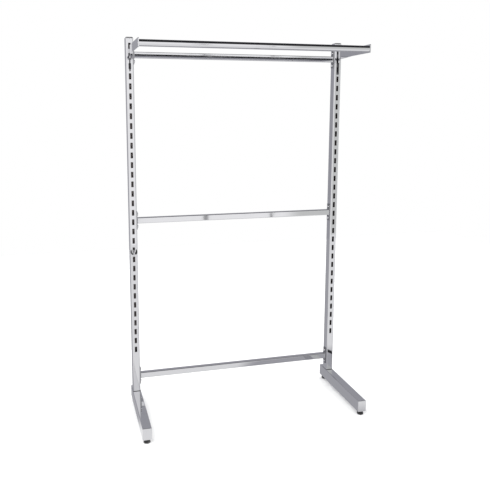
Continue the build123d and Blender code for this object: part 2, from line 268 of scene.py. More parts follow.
def polish_group():
    """Polishing lines, plating ripple and handling haze, which every bright surface here shows."""
    group, given, result = new_group(
        "polish_and_haze",
        "ShaderNodeTree",
        {
            "Stretch": "Vector", "Base Roughness": "Float", "Line Roughness": "Float",
            "Haze Roughness": "Float", "Line Depth": "Float", "Ripple Depth": "Float",
            "Tint": "Color", "Haze Tint": "Color",
        },
        {"Tone": "Color", "Roughness": "Float", "Normal": "Vector"},
    )
    place = group.nodes.new("ShaderNodeTexCoord")
    stretch = group.nodes.new("ShaderNodeVectorMath")
    stretch.operation = "MULTIPLY"
    join(group, place, "Object", stretch, 0)
    join(group, given, "Stretch", stretch, 1)
    lines = noise(group, (stretch, 0), scale=900.0, detail=3.0)
    ripple = noise(group, (stretch, 0), scale=22.0, detail=1.0)
    smudge = noise(group, (place, "Object"), scale=9.0, detail=5.0)
    smudge.inputs["Roughness"].default_value = 0.62
    haze = group.nodes.new("ShaderNodeMapRange")
    haze.inputs["From Min"].default_value = 0.52
    haze.inputs["From Max"].default_value = 0.78
    join(group, smudge, "Fac", haze, "Value")
    line_part = maths(group, "MULTIPLY", (lines, "Fac"), (given, "Line Roughness"))
    haze_part = maths(group, "MULTIPLY", (haze, "Result"), (given, "Haze Roughness"))
    rough = maths(group, "ADD", (line_part, 0), (haze_part, 0))
    rough = maths(group, "ADD", (rough, 0), (given, "Base Roughness"))
    join(group, rough, 0, result, "Roughness")
    haze_tone = maths(group, "MULTIPLY", (haze, "Result"), 0.35)
    tone = group.nodes.new("ShaderNodeMix")
    tone.data_type = "RGBA"
    join(group, haze_tone, 0, tone, "Factor")
    join(group, given, "Tint", tone, "A")
    join(group, given, "Haze Tint", tone, "B")
    join(group, tone, "Result", result, "Tone")
    fine = relief(group, (given, "Line Depth"), 0.00002, (lines, "Fac"))
    wide = relief(group, (given, "Ripple Depth"), 0.0006, (ripple, "Fac"))
    join(group, fine, "Normal", wide, "Normal")
    join(group, wide, "Normal", result, "Normal")
    return group


polish = polish_group()


def bright_metal(
    name, stretch, tint=chrome_tint, base=0.02, lines=0.02, haze=0.06, depth=0.03, ripple=0.03
):
    """A plated metal: the stretch draws the polishing lines out along the piece."""
    material, tree, shader = new_material(name)
    shader.inputs["Metallic"].default_value = 1.0
    wear = tree.nodes.new("ShaderNodeGroup")
    wear.node_tree = polish
    for label, value in (
        ("Stretch", stretch), ("Base Roughness", base), ("Line Roughness", lines),
        ("Haze Roughness", haze), ("Line Depth", depth), ("Ripple Depth", ripple), ("Tint", tint),
        ("Haze Tint", [part * haze_shade for part in tint[:3]] + [1.0]),
    ):
        wear.inputs[label].default_value = value
    join(tree, wear, "Tone", shader, "Base Color")
    join(tree, wear, "Roughness", shader, "Roughness")
    join(tree, wear, "Normal", shader, "Normal")
    return material


chrome_along_y = bright_metal("chrome_leg_tube", (1.0, 0.03, 1.0))
chrome_flat = bright_metal("chrome_end_cap", (1.0, 1.0, 0.1), base=0.04)

for side in sides:
    low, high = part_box(f"leg_{side}")
    tube = box_tube(low, high, "Y", leg_corner, leg_wall, saw_edge)
    fit_shells(f"leg_tube_{side}", [tube], chrome_along_y, f"leg_{side}")
    for end in ("front", "rear"):
        cap_low, cap_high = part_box(f"leg_cap_{end}_{side}")
        if end == "front":
            cap_high, edges = Vector((cap_high.x, low.y, cap_high.z)), (leg_cap_edge, saw_edge)
        else:
            cap_low, edges = Vector((cap_low.x, high.y, cap_low.z)), (saw_edge, leg_cap_edge)
        plate = slab(cap_low, cap_high, "Y", leg_corner, *edges)
        fit_shells(f"leg_{end}_cap_{side}", [plate], chrome_flat, f"leg_cap_{end}_{side}")

# ---- Uprights ----
# Box tubes, 40 by 50 mm in 2 mm wall, with a row of slots punched through the front wall before they
# are polished and chromed. Each slot's outer edge is rolled in by the punch; the inside stays bare.
upright_corner = 0.006
upright_wall = 0.002
slot_pitch = 0.050
slot_width = 0.012
slot_height = 0.030
slot_corner = 0.002
slot_corner_steps = 4
first_slot_drop = 0.045
last_slot_rise = 0.230
rolled_edge = 0.0006
roll_share = 0.3

bare_steel = bright_metal(
    "bare_steel_inside", (1.0, 1.0, 0.1), (0.42, 0.375, 0.365, 1.0), base=0.42, lines=0.15,
    haze=0.2, depth=0.4,
)
chrome_along_z = bright_metal("chrome_upright_tube", (1.0, 1.0, 0.03))


def panel_with_hole(corners, hole):
    """Faces from a rectangle's four corners to the rounded hole inside it, both anticlockwise."""
    steps = len(hole) // 4
    faces = []
    for quarter in range(4):
        arc = hole[quarter * steps:(quarter + 1) * steps]
        for first, second in zip(arc, arc[1:]):
            faces.append((corners[quarter], first, second))
        following = (quarter + 1) % 4
        faces.append((corners[quarter], arc[-1], hole[following * steps], corners[following]))
    return faces


def slotted_section(cx, front_y, back_y, top_z):
    """One pitch of slotted tube with its slot in the middle: both faces of the walls and the slot's
    edge. Faces are listed with whether they are inside the tube."""
    cy = (front_y + back_y) / 2
    points, faces, inside = [], [], []
    walls = []
    for inset in (0.0, upright_wall):
        outline = rounded_outline(upright_width, back_y - front_y, upright_corner, inset)
        rows = []
        for level in (top_z - slot_pitch, top_z):
            rows.append(range(len(points), len(points) + len(outline)))
            points += [(cx + u, cy + v, level) for u, v in outline]
        walls.append(rows)
        count = len(outline)
        flat = 3 * count // 4 - 1
        for i in range(count):
            if i != flat:
                j = (i + 1) % count
                faces.append((rows[0][i], rows[0][j], rows[1][j], rows[1][i]))
                inside.append(inset > 0)
    loops = []
    part_roll = rolled_edge * roll_share
    for grow, depth in (
        (rolled_edge, 0.0), (part_roll, part_roll), (0.0, rolled_edge), (0.0, upright_wall)
    ):
        outline = rounded_outline(slot_width, slot_height, slot_corner, -grow, slot_corner_steps)
        loops.append(range(len(points), len(points) + len(outline)))
        points += [(cx + u, front_y + depth, top_z - slot_pitch / 2 + v) for u, v in outline]
    for first, second in zip(loops, loops[1:]):
        for i in range(len(first)):
            j = (i + 1) % len(first)
            faces.append((first[i], first[j], second[j], second[i]))
            inside.append(False)
    for rows, loop, hidden in ((walls[0], loops[0], False), (walls[1], loops[-1], True)):
        left, right = 3 * len(rows[0]) // 4 - 1, 3 * len(rows[0]) // 4
        corners = (rows[1][right], rows[1][left], rows[0][left], rows[0][right])
        for face in panel_with_hole(corners, loop):
            faces.append(face)
            inside.append(hidden)
    return points, faces, inside


def repeat_tree():
    """Geometry nodes: repeats one section along a line, welds the copies and gives both finishes."""
    tree, given, result = new_group(
        "slotted_run",
        "GeometryNodeTree",
        {
            "Section": "Geometry", "Count": "Int", "Pitch": "Vector", "Outside": "Material",
            "Inside": "Material",
        },
        {"Run": "Geometry"},
    )
    line = tree.nodes.new("GeometryNodeMeshLine")
    copies = tree.nodes.new("GeometryNodeInstanceOnPoints")
    real = tree.nodes.new("GeometryNodeRealizeInstances")
    weld = tree.nodes.new("GeometryNodeMergeByDistance")
    outside = tree.nodes.new("GeometryNodeSetMaterial")
    hidden = tree.nodes.new("GeometryNodeInputNamedAttribute")
    inside = tree.nodes.new("GeometryNodeSetMaterial")
    weld.inputs["Distance"].default_value = same_seam
    hidden.data_type = "BOOLEAN"
    hidden.inputs["Name"].default_value = "inside"
    join(tree, given, "Count", line, "Count")
    join(tree, given, "Pitch", line, "Offset")
    join(tree, line, "Mesh", copies, "Points")
    join(tree, given, "Section", copies, "Instance")
    join(tree, copies, "Instances", real, "Geometry")
    join(tree, real, "Geometry", weld, "Geometry")
    join(tree, weld, "Geometry", outside, "Geometry")
    join(tree, given, "Outside", outside, "Material")
    join(tree, outside, "Geometry", inside, "Geometry")
    join(tree, hidden, "Attribute", inside, "Selection")
    join(tree, given, "Inside", inside, "Material")
    join(tree, inside, "Geometry", result, "Run")
    return tree


def grow_nodes(name, mesh, tree, values):
    """Runs a node tree on a mesh and returns the plain mesh that it makes."""
    seed = set_in_scene(name, mesh)
    modifier = seed.modifiers.new("grow", "NODES")
    modifier.node_group = tree
    for item in tree.interface.items_tree:
        if item.in_out == "INPUT" and item.name in values:
            modifier[item.identifier] = values[item.name]
    bpy.context.view_layer.update()
    grown = plain_mesh(seed)
    bpy.data.objects.remove(seed)
    return grown


slotted_run = repeat_tree()
upright_low, upright_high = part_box("upright_left")
upright_width = upright_high.x - upright_low.x
cap_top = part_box("upright_cap_left")[1].z
first_slot_z = cap_top - first_slot_drop
slot_space = first_slot_z - upright_low.z - last_slot_rise
slot_count = int((slot_space + same_point) // slot_pitch) + 1
slot_heights = [first_slot_z - index * slot_pitch for index in range(slot_count)]

for side in sides:
    low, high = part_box(f"upright_{side}")
    cx, cy = (low.x + high.x) / 2, (low.y + high.y) / 2
    run_top = first_slot_z + slot_pitch / 2
    run_foot = run_top - slot_count * slot_pitch
    points, faces, inside = slotted_section(cx, low.y, high.y, run_top)
    section = bpy.data.meshes.new("section")
    section.from_pydata(points, [], faces)
    section.attributes.new("inside", "BOOLEAN", "FACE").data.foreach_set("value", inside)
    run = grow_nodes(
        "run", section, slotted_run,
        {"Count": slot_count, "Pitch": (0.0, 0.0, -slot_pitch), "Outside": chrome_along_z,
         "Inside": bare_steel},
    )
    work = bmesh.new()
    work.from_mesh(run)
    inside_index = list(run.materials).index(bare_steel)
    outside_index = list(run.materials).index(chrome_along_z)
    outer, eased, inner = (
        rounded_outline(upright_width, high.y - low.y, upright_corner, inset)
        for inset in (0.0, saw_edge, upright_wall)
    )
    for mouth, run_end, inward in ((low.z, run_foot, 1), (high.z, run_top, -1)):
        rows = [
            (outer, run_end), (outer, mouth + inward * saw_edge), (eased, mouth), (inner, mouth),
            (inner, run_end),
        ]
        rings = [[work.verts.new(point) for point in ring(one, "Z", cx, cy, z)] for one, z in rows]
        for (start, _), first, second in zip(rows, rings, rings[1:]):
            for i in range(len(first)):
                j = (i + 1) % len(first)
                face = work.faces.new((first[i], first[j], second[j], second[i]))
                face.material_index = inside_index if start is inner else outside_index
    bmesh.ops.remove_doubles(work, verts=work.verts, dist=same_seam)
    bmesh.ops.recalc_face_normals(work, faces=work.faces)
    work.to_mesh(run)
    work.free()
    shade(run, rounded_sharp)
    fit_piece(f"slotted_upright_{side}", run, None, f"upright_{side}")

# Upright caps are pressed steel, domed at the edges and pushed into the tube; plated, not buffed.
cap_edge = 0.008
cap_edge_steps = 8
satin_cap = bright_metal(
    "satin_upright_cap", (1.0, 1.0, 1.0), (0.86, 0.86, 0.87, 1.0), base=0.34, lines=0.10
)
for side in sides:
    low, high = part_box(f"upright_cap_{side}")
    crown_low = Vector((low.x, low.y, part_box(f"upright_{side}")[1].z))
    crown = slab(crown_low, high, "Z", upright_corner, saw_edge, cap_edge, cap_edge_steps)
    fit_shells(f"upright_top_cap_{side}", [crown], satin_cap, f"upright_cap_{side}")

# ---- Crossbars ----
# Square tubes, 30 mm in 1.5 mm wall, are sawn, welded to flat end plates and chromed in one piece.
# The weld runs round each end as a ring of overlapping ripples.
levels = ("top", "middle", "bottom")
bar_corner = 0.003
bar_wall = 0.0015
plate_corner = 0.004
plate_edge = 0.0006
weld_radius = 0.0016
weld_spacing = 0.0022

chrome_along_x = bright_metal("chrome_crossbar_tube", (0.03, 1.0, 1.0))
# Painted shade: the end plates' chrome is tinted far darker than the tubes', darkening the ground
# round the bolts.
end_plate_chrome_painted_shade = bright_metal(
    "chrome_end_plate", (1.0, 1.0, 0.15), (0.34, 0.34, 0.35, 1.0), base=0.10, lines=0.06
)
chrome_weld = bright_metal(
    "chrome_weld", (1.0, 1.0, 1.0), base=0.16, lines=0.12, depth=0.3, ripple=0.4
)


def placing_tree():
    """Geometry nodes: sets one turned item on every point and gives it its finish."""
    tree, given, result = new_group(
        "set_on_points",
        "GeometryNodeTree",
        {"Points": "Geometry", "Item": "Object", "Turn": "Vector", "Finish": "Material"},
        {"Row": "Geometry"},
    )
    item = tree.nodes.new("GeometryNodeObjectInfo")
    turn = tree.nodes.new("FunctionNodeEulerToRotation")
    copies = tree.nodes.new("GeometryNodeInstanceOnPoints")
    real = tree.nodes.new("GeometryNodeRealizeInstances")
    finish = tree.nodes.new("GeometryNodeSetMaterial")
    join(tree, given, "Item", item, "Object")
    join(tree, given, "Points", copies, "Points")
    join(tree, item, "Geometry", copies, "Instance")
    join(tree, given, "Turn", turn, "Euler")
    join(tree, turn, "Rotation", copies, "Rotation")
    join(tree, copies, "Instances", real, "Geometry")
    join(tree, real, "Geometry", finish, "Geometry")
    join(tree, given, "Finish", finish, "Material")
    join(tree, finish, "Geometry", result, "Row")
    return tree


set_on_points = placing_tree()


def set_out(name, item_mesh, places, turn, material):
    """Sets copies of a small item on a list of places and returns them as one mesh."""
    item = bpy.data.objects.new("item", item_mesh)
    points = bpy.data.meshes.new("places")
    points.from_pydata(places, [], [])
    row = grow_nodes(name, points, set_on_points, {"Item": item, "Turn": turn, "Finish": material})
    bpy.data.objects.remove(item)
    return row


def ripple_mesh():
    """One ripple of a weld: a small squat bead."""
    mesh = bpy.data.meshes.new("ripple")
    work = bmesh.new()
    bmesh.ops.create_uvsphere(work, u_segments=8, v_segments=6, radius=weld_radius)
    work.to_mesh(mesh)
    work.free()
    mesh.polygons.foreach_set("use_smooth", [True] * len(mesh.polygons))
    return mesh


def walk_outline(outline, spacing):
    """Evenly spaced points along a closed outline."""
    closed = outline + outline[:1]
    lengths = [math.dist(a, b) for a, b in zip(closed, closed[1:])]
    total = sum(lengths)
    count = round(total / spacing)
    found, edge, passed = [], 0, 0.0
    for index in range(count):
        target = total * index / count
        while passed + lengths[edge] < target:
            passed += lengths[edge]
            edge += 1
        share = (target - passed) / max(lengths[edge], 1e-9)
        (u0, v0), (u1, v1) = closed[edge], closed[edge + 1]
        found.append((u0 + (u1 - u0) * share, v0 + (v1 - v0) * share))
    return found


for level in levels:
    low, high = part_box(f"crossbar_{level}")
    tube = box_tube(low, high, "X", bar_corner, bar_wall, saw_edge)
    fit_shells(f"crossbar_tube_{level}", [tube], chrome_along_x, f"crossbar_{level}")
    width, height, cu, cv, start, stop = middle(low, high, "X")
    seam = walk_outline(rounded_outline(width, height, bar_corner), weld_spacing)
    for side, sign in sides.items():
        node = f"end_plate_{level}_{side}"
        plate = slab(*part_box(node), "X", plate_corner, plate_edge, plate_edge)
        fit_shells(f"bar_{node}", [plate], end_plate_chrome_painted_shade, node)
        end_x = stop if sign > 0 else start
        places = [ALONG["X"](cu + u, cv + v, end_x - sign * weld_radius / 2) for u, v in seam]
        weld = set_out(f"weld_{level}_{side}", ripple_mesh(), places, (0.0, 0.0, 0.0), chrome_weld)
        bead = set_in_scene(f"bar_weld_{level}_{side}", weld)
        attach(bead, "frame")

# ---- Screws ----
# Domed socket screws hold the end plates to the uprights, and pan-headed ones lock the uprights to
# their spigots at the back. They are turned and nickel-chromed, and their tint is set lighter than
# the tubes' as a painted highlight.
head_radius = 0.008
head_height = 0.005
socket_flats = 0.005
socket_depth = 0.0025
bolt_shank = (0.0039, 0.020)
pan_radius = 0.006
pan_height = 0.0035
small_flats = 0.004
pan_socket_depth = 0.0018
pan_shank = (0.0029, 0.014)
bolt_offset = 0.033
seat_inset = 0.03
crown_share = 1.45
seat_rise = 0.04
rim_share = 0.22
dome_steps = 8
socket_mouth = 1.08
socket_chamfer = 0.0002
drill_depth = 1.15
drill_tip = 0.0002

# Painted highlight: the screws' tint is set lighter than the tubes' chrome.
screw_chrome_painted_highlight = bright_metal(
    "screw_head_painted_highlight", (1.0, 1.0, 1.0), (0.95, 0.95, 0.96, 1.0), base=0.08, lines=0.08,
    depth=0.2, ripple=0.0,
)


def hexagon_radius(turn, flats):
    """Distance from a hexagon's middle to its edge in a direction."""
    return flats / 2 / math.cos((turn + math.pi / 6) % (math.pi / 3) - math.pi / 6)


def full_turn(count):
    """Evenly spaced angles round a circle."""
    return [2 * math.pi * index / count for index in range(count)]


def turned(profile, count=48):
    """A closed turned shape about Z from (radius, height) rows; a radius may depend on the turn."""
    rings = []
    for radius, height in profile:
        reaches = [(radius(turn) if callable(radius) else radius, turn) for turn in full_turn(count)]
        rings.append([(r * math.cos(turn), r * math.sin(turn), height) for r, turn in reaches])
    return skin(rings, capped=True)


def socket_head(radius, height, flats, depth, shank):
    """A domed screw with a hexagon socket: its seat at nought, its head upwards and its shank below.
    The shank is given by its radius and length."""
    hexagon = lambda across: lambda turn: hexagon_radius(turn, across)
    crown = flats / 2 * crown_share
    rim = height * rim_share
    profile = [
        (shank[0], -shank[1]), (shank[0], 0.0), (radius * (1 - seat_inset), 0.0),
        (radius, radius * seat_rise), (radius, rim),
    ]
    for step in range(1, dome_steps + 1):
        turn = math.pi / 2 * step / dome_steps
        reach, rise = (radius - crown) * math.cos(turn), (height - rim) * math.sin(turn)
        profile.append((crown + reach, rim + rise))
    profile += [
        (hexagon(flats * socket_mouth), height), (hexagon(flats), height - socket_chamfer),
        (hexagon(flats), height - depth), (drill_tip, height - depth * drill_depth),
    ]
    return turned(profile)


bolt = socket_head(head_radius, head_height, socket_flats, socket_depth, bolt_shank)
bolt_item = make_mesh("bolt", [bolt])
pan = socket_head(pan_radius, pan_height, small_flats, pan_socket_depth, pan_shank)
pan_item = make_mesh("pan", [pan])
for side, sign in sides.items():
    seats = []
    for level in levels:
        plate = f"end_plate_{level}_{side}"
        seat_x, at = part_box(plate)[0 if sign > 0 else 1].x, centre(plate)
        seats += [(seat_x, at.y, at.z + step * bolt_offset) for step in (1, -1)]
    row = set_out("bolts", bolt_item, seats, (0.0, -sign * math.pi / 2, 0.0), screw_chrome_painted_highlight)
    fit_piece(f"crossbar_bolts_{side}", row, screw_chrome_painted_highlight, f"bar_bolts_{side}")
    low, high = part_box(f"spigot_screws_{side}")
    back_y, middle_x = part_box(f"upright_{side}")[1].y, centre(f"spigot_screws_{side}").x
    seats = [(middle_x, back_y, z) for z in (low.z + pan_radius, high.z - pan_radius)]
    row = set_out("pans", pan_item, seats, (-math.pi / 2, 0.0, 0.0), screw_chrome_painted_highlight)
    fit_piece(f"spigot_lock_screws_{side}", row, screw_chrome_painted_highlight, f"spigot_screws_{side}")

# ---- Arms ----
# Flat bars on edge, 5 mm thick, are sawn and filed to shape. Each has a strip that lies down the
# upright's face and three hooked lugs that go through the slots and drop behind the wall.
arm_edge = 0.0005
strip_depth = 0.010
root_deepening = 0.005
taper_start = 0.170
taper_end = 0.040
gusset_radius = 0.022
tip_corner = 0.003
arm_height = 0.040
lug_count = 3
neck_height = 0.016
nose_depth = 0.010
nose_thickness = 0.004
seat_gap = 0.0003
tip_steps = 4
gusset_steps = 8
plate_sharp = 50

chrome_arm = bright_metal("chrome_arm_plate", (1.0, 0.05, 1.0), base=0.03, lines=0.03)
# Painted shade: a near-black tint on the strip and lugs that lie on the upright, standing in for the
# shadow gaps beside them.
strip_painted_shade = bright_metal(
    "strip_edge_painted_shade", (1.0, 1.0, 0.1), (0.085, 0.085, 0.09, 1.0), base=0.30, lines=0.15,
    depth=0.3,
)


def arc_points(centre, radius, start, stop, steps):
    """Points along an arc from one angle to another, in degrees."""
    y, z = centre
    turns = [math.radians(start + (stop - start) * step / steps) for step in range(steps + 1)]
    return [(y + radius * math.cos(turn), z + radius * math.sin(turn)) for turn in turns]


def lug_points(root_y, slot_z, face_y):
    """A lug's outline from its root's top round to its root's foot, as (y, z)."""
    slot_foot = slot_z - slot_height / 2
    nose_y = face_y + upright_wall + seat_gap
    nose_back = nose_y + nose_thickness
    return [
        (root_y, slot_foot + neck_height), (nose_back, slot_foot + neck_height),
        (nose_back, slot_foot - nose_depth), (nose_y, slot_foot - nose_depth),
        (nose_y, slot_foot), (root_y, slot_foot),
    ]


def cut_plate(name, outline, low_x, high_x, edge):
    """A plate cut to a (y, z) outline, with its long edges eased."""
    count = len(outline)
    points = [(x, y, z) for x in (low_x, high_x) for y, z in outline]
    faces = [(i, (i + 1) % count, count + (i + 1) % count, count + i) for i in range(count)]
    faces += [tuple(reversed(range(count))), tuple(range(count, 2 * count))]
    piece = set_in_scene(name, make_mesh(name, [(points, faces)]))
    bevel = piece.modifiers.new("eased", "BEVEL")
    bevel.width = edge
    bevel.segments = 2
    bevel.limit_method = "ANGLE"
    bevel.angle_limit = math.radians(plate_sharp)
    plate = plain_mesh(piece)
    bpy.data.objects.remove(piece)
    shade(plate, plate_sharp)
    return plate


for side in sides:
    low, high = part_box(f"arm_{side}")
    face_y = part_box(f"upright_{side}")[0].y
    root_y = face_y - seat_gap
    under_z = high.z - arm_height
    root_z = under_z - root_deepening
    strip_y = root_y - strip_depth
    outline = arc_points((low.y + tip_corner, high.z - tip_corner), tip_corner, 180, 90, tip_steps)
    outline.append((root_y, high.z))
    for slot_z in slot_heights[:lug_count]:
        outline += lug_points(root_y, slot_z, face_y)
    outline += [(root_y, low.z), (strip_y, low.z)]
    gusset_centre = (strip_y - gusset_radius, root_z - gusset_radius)
    outline += arc_points(gusset_centre, gusset_radius, 0, 90, gusset_steps)
    outline += [(face_y - taper_end, root_z), (face_y - taper_start, under_z)]
    tip_foot = (low.y + tip_corner, under_z + tip_corner)
    outline += arc_points(tip_foot, tip_corner, 270, 180, tip_steps)
    plate = cut_plate(f"arm_plate_{side}", outline, low.x, high.x, arm_edge)
    plate.materials.append(chrome_arm)
    plate.materials.append(strip_painted_shade)
    # The strip on the upright is given a near-black metal as painted shade, so the plate is divided
    # along its front edge.
    work = bmesh.new()
    work.from_mesh(plate)
    bmesh.ops.bisect_plane(
        work, geom=work.verts[:] + work.edges[:] + work.faces[:], plane_co=(0, strip_y, 0),
        plane_no=(0, 1, 0), dist=same_point,
    )
    for face in work.faces:
        if face.calc_center_median().y > strip_y - arm_edge:
            face.material_index = 1
    work.to_mesh(plate)
    work.free()
    fit_piece(f"hooked_arm_{side}", plate, None, f"arm_{side}")

# ---- Hang rail ----
# A round tube, 32 mm in 1.5 mm wall, runs between the arms' tips. It is centreless ground before
# plating, so fine lines run round it, and a countersunk screw through each arm holds its plug.
rail_wall = 0.0015
rail_facets = 96
screw_proud = 0.0004
rail_socket_depth = 0.002
rail_shank = (0.0029, 0.016)

chrome_rail = bright_metal("chrome_rail_tube", (0.6, 0.06, 0.06), ripple=0.02)

low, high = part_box("hang_rail")
rail_radius = (high.z - low.z) / 2
rail_bore = rail_radius - rail_wall
at = centre("hang_rail")
circles = []
for radius, x in ((rail_radius - saw_edge, low.x), (rail_radius, low.x + saw_edge),
                  (rail_radius, high.x - saw_edge), (rail_radius - saw_edge, high.x),
                  (rail_bore, high.x), (rail_bore, low.x)):
    circles.append([
        (x, at.y + radius * math.cos(turn), at.z + radius * math.sin(turn))
        for turn in full_turn(rail_facets)
    ])
fit_shells("round_hang_rail", [skin(circles, joined=True)], chrome_rail, "hang_rail")

for side, sign in sides.items():
    low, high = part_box(f"rail_screw_{side}")
    radius = (high.z - low.z) / 2
    screw = socket_head(radius, screw_proud, small_flats, rail_socket_depth, rail_shank)
    flush = make_mesh("flush", [screw])
    at = centre(f"rail_screw_{side}")
    seats = [(high.x if sign > 0 else low.x, at.y, at.z)]
    row = set_out("flush", flush, seats, (0.0, sign * math.pi / 2, 0.0), screw_chrome_painted_highlight)
    fit_piece(f"rail_end_screw_{side}", row, screw_chrome_painted_highlight, f"rail_screw_{side}")

# ---- Slot hook ----
# A small double hook: a plate with one lug in a slot, and a 5 mm wire bent to a U across it, plated.
# It lifts off and can go in any slot.
hook_edge = 0.0004
hook_half = 0.002
wire_radius = 0.0025
bend_radius = 0.015
bend_drop = 0.005
tip_rise = 0.006
hook_standoff = 0.009
hook_slot = 21
wire_facets = 20
bend_steps = 24
tip_dome_steps = 5
tip_size = 0.02

chrome_hook = bright_metal("chrome_slot_hook", (1.0, 1.0, 0.3), base=0.07)

hook_x = centre("slot_hook").x
face_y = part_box("upright_left")[0].y
root_y = face_y - seat_gap
slot_z = slot_heights[hook_slot]
bend_z = slot_z - bend_drop
wire_y = face_y - hook_standoff
front_y = wire_y - wire_radius
shoulder_z = slot_z + slot_height / 4
hook_foot = bend_z - bend_radius - wire_radius
outline = [(front_y, hook_foot + 4 * wire_radius), (root_y - wire_radius, shoulder_z)]
outline += [(root_y, shoulder_z)] + lug_points(root_y, slot_z, face_y)
outline += [(root_y, hook_foot), (front_y, hook_foot)]
hook_plate = cut_plate("hook_plate", outline, hook_x - hook_half, hook_x + hook_half, hook_edge)

# The wire is swept: each row has its middle, the direction across the wire and the wire's size.
sweep = [(-bend_radius, tip_rise, 1.0, 0.0, 1.0)]
for step in range(bend_steps + 1):
    bend = math.pi * step / bend_steps
    u, v = -bend_radius * math.cos(bend), -bend_radius * math.sin(bend)
    sweep.append((u, v, math.cos(bend), math.sin(bend), 1.0))
sweep.append((bend_radius, tip_rise, -1.0, 0.0, 1.0))
for step in range(1, tip_dome_steps + 1):
    turn = math.pi / 2 * step / tip_dome_steps
    size, top = max(math.cos(turn), tip_size), tip_rise + math.sin(turn) * wire_radius
    sweep.insert(0, (-bend_radius, top, 1.0, 0.0, size))
    sweep.append((bend_radius, top, -1.0, 0.0, size))
circles = []
for u, v, across, up, size in sweep:
    reach = size * wire_radius
    circles.append([
        (hook_x + u + reach * math.cos(turn) * across, wire_y + reach * math.sin(turn),
         bend_z + v - wire_radius + reach * math.cos(turn) * up)
        for turn in full_turn(wire_facets)
    ])
wire = make_mesh("hook_wire", [skin(circles, capped=True)])
work = bmesh.new()
work.from_mesh(hook_plate)
work.from_mesh(wire)
work.to_mesh(wire)
work.free()
shade(wire, plate_sharp)
fit_piece("double_slot_hook", wire, chrome_hook, "slot_hook")

# The hook's two arms are dipped in black vinyl, so that they don't mark the clothes.
dip_radius = wire_radius + 0.0008
dip_sweep = 62
dip_steps = 14
dip_end_size = 0.6
dip_sharp = 40


def black_plastic(name, marks, grain, tones, roughness, strength, distance):
    """A black plastic. Marks vary its tone and gloss, and a grain gives it relief; both are noises
    given by scale and detail. The tones are (position, colour) pairs."""
    material, tree, shader = new_material(name)
    place = tree.nodes.new("ShaderNodeTexCoord")
    marks = noise(tree, (place, "Object"), *marks)
    grain = noise(tree, (place, "Object"), *grain)
    tone = tree.nodes.new("ShaderNodeValToRGB")
    for index, (position, colour) in enumerate(tones):
        tone.color_ramp.elements[index].position = position
        tone.color_ramp.elements[index].color = colour
    rough = tree.nodes.new("ShaderNodeMapRange")
    rough.inputs["To Min"].default_value, rough.inputs["To Max"].default_value = roughness
    bump = relief(tree, strength, distance, (grain, "Fac"))
    join(tree, marks, "Fac", tone, "Fac")
    join(tree, marks, "Fac", rough, "Value")
    join(tree, tone, "Color", shader, "Base Color")
    join(tree, rough, "Result", shader, "Roughness")
    join(tree, bump, "Normal", shader, "Normal")
    return material


# Dipped vinyl has a soft gloss, slightly uneven where it drained, with a little lint.
vinyl = black_plastic(
    "black_dipped_vinyl", marks=(260.0, 4.0), grain=(260.0, 4.0),
    tones=((0.40, (0.010, 0.010, 0.011, 1.0)), (0.80, (0.045, 0.044, 0.043, 1.0))),
    roughness=(0.32, 0.50), strength=0.2, distance=0.0002,
)
for side, sign in sides.items():
    rows = []
    for step in range(tip_dome_steps + 1):
        turn = math.pi / 2 * step / tip_dome_steps
        top = tip_rise + dip_radius * math.cos(turn)
        rows.append((bend_radius, top, 0.0, max(math.sin(turn), tip_size)))
    rows.append((bend_radius, 0.0, 0.0, 1.0))
    for step in range(1, dip_steps + 1):
        turn = math.radians(dip_sweep) * step / dip_steps
        rows.append((bend_radius * math.cos(turn), -bend_radius * math.sin(turn), turn, 1.0))
    rows.append(rows[-1][:3] + (dip_end_size,))
    circles = []
    for u, v, bend, size in rows:
        reach = dip_radius * size
        circles.append([
            (hook_x + sign * (u + reach * math.cos(turn) * math.cos(bend)),
             wire_y + reach * math.sin(turn),
             bend_z + v - wire_radius - reach * math.cos(turn) * math.sin(bend))
            for turn in full_turn(wire_facets)
        ])
    dip = make_mesh(f"dipped_tip_{side}", [skin(circles, capped=True)], dip_sharp)
    dip.materials.append(vinyl)
    tip = set_in_scene(f"hook_dipped_tip_{side}", dip)
    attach(tip, "slot_hook")

# ---- Levelling feet ----
# Each is a moulded black pad that stays still on the floor, and a zinc-plated stud that turns in it:
# a six-sided collar for the spanner and an M8 thread that runs up into the leg's insert.
pad_taper = 0.0017
pad_edge = 0.0015
pad_edge_steps = 5
pad_foot_inset = 0.0012
pad_foot_rise = 0.0010
pad_shoulder = 0.0002
pad_sharp = 28
well_mouth = 0.55
well_floor = 0.50
well_depth = 0.0006
well_middle = 0.0045
flute_count = 28
flute_depth = 0.0004
facets_per_flute = 6
collar_flats = 0.014
collar_face = 0.96
collar_chamfer = 0.0007
collar_facets = 72
thread_radius = 0.00395
thread_pitch = 0.00125
thread_depth = 0.0006
thread_steps = 5
thread_facets = 24
thread_lead = 0.002
thread_start = 0.1
stud_sharp = 40

# Moulded plastic has a fine grain, dust in it, and scuffs on the skirt.
foot_plastic = black_plastic(
    "black_foot_plastic", marks=(90.0, 6.0), grain=(1400.0, 2.0),
    tones=((0.45, (0.012, 0.012, 0.013, 1.0)), (0.78, (0.07, 0.068, 0.065, 1.0))),
    roughness=(0.16, 0.45), strength=0.35, distance=0.00008,
)
zinc_steel = bright_metal(
    "zinc_plated_steel", (1.0, 1.0, 0.4), (0.62, 0.62, 0.58, 1.0), base=0.22, lines=0.12,
    haze=0.15, depth=0.4,
)


